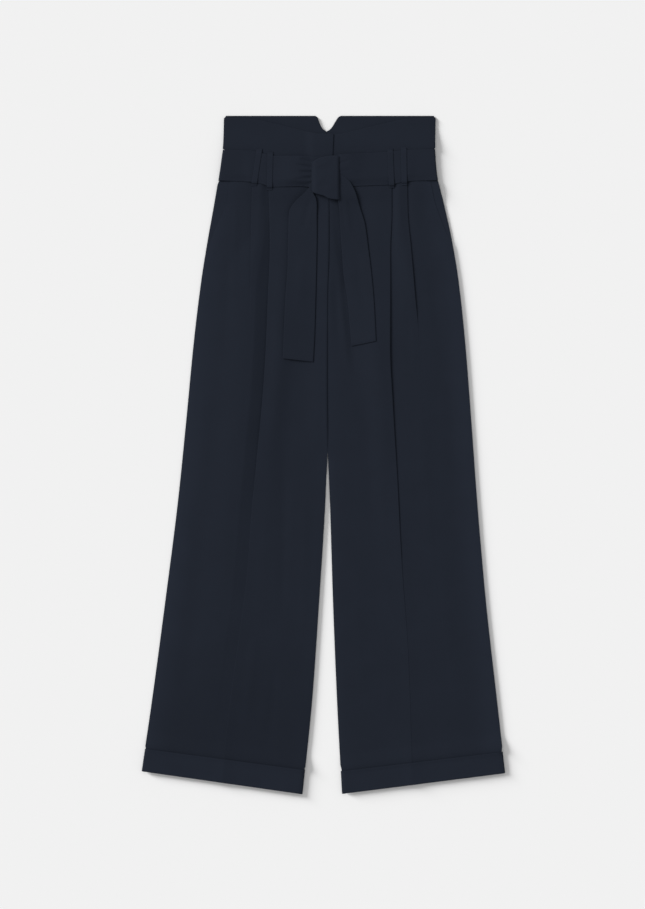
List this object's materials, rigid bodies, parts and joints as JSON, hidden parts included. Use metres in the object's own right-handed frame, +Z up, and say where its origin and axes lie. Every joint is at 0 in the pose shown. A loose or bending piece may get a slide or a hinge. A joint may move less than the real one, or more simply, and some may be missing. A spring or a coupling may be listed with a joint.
{
  "type": "wide-leg crepe trousers",
  "caption": "High-waisted wide-leg crepe trousers laid flat, with a tied belt in loops, knife pleats, slanted pockets, turn-ups and a notched back waistband.",
  "frame": {"origin": "middle of the laid-flat trousers' outline, on the surface they rest on", "axes": "+Y towards the waist, +Z up out of the resting surface on the front side, +X towards the wearer's left leg"},
  "size_m": [0.5888, 1.0981, 0.017],
  "materials": {
    "crepe": "matt dark navy crepe with a fine pebbled surface",
    "waistband_crepe": "matt dark navy crepe, stiffened inside and pressed flat",
    "belt_crepe": "matt dark navy crepe, doubled and pressed"
  },
  "bodies": {
    "root": {"front_leg_right": "crepe", "front_leg_left": "crepe", "back_leg_right": "crepe", "back_leg_left": "crepe", "pocket_bearer_right": "crepe", "pocket_bearer_left": "crepe", "fly_underlap": "crepe", "waistband_front_right": "waistband_crepe", "waistband_front_left": "waistband_crepe", "waistband_back_right": "waistband_crepe", "waistband_back_left": "waistband_crepe", "cuff_right": "crepe", "cuff_left": "crepe", "belt_loop_front_1": "belt_crepe", "belt_loop_front_2": "belt_crepe", "belt_loop_front_3": "belt_crepe", "belt_loop_front_4": "belt_crepe", "belt_loop_back_right": "belt_crepe", "belt_loop_back_left": "belt_crepe", "belt_back": "belt_crepe", "belt_front_right": "belt_crepe", "belt_front_left": "belt_crepe", "belt_knot": "belt_crepe", "belt_tail_right": "belt_crepe", "belt_tail_left": "belt_crepe"}
  },
  "joints": []
}
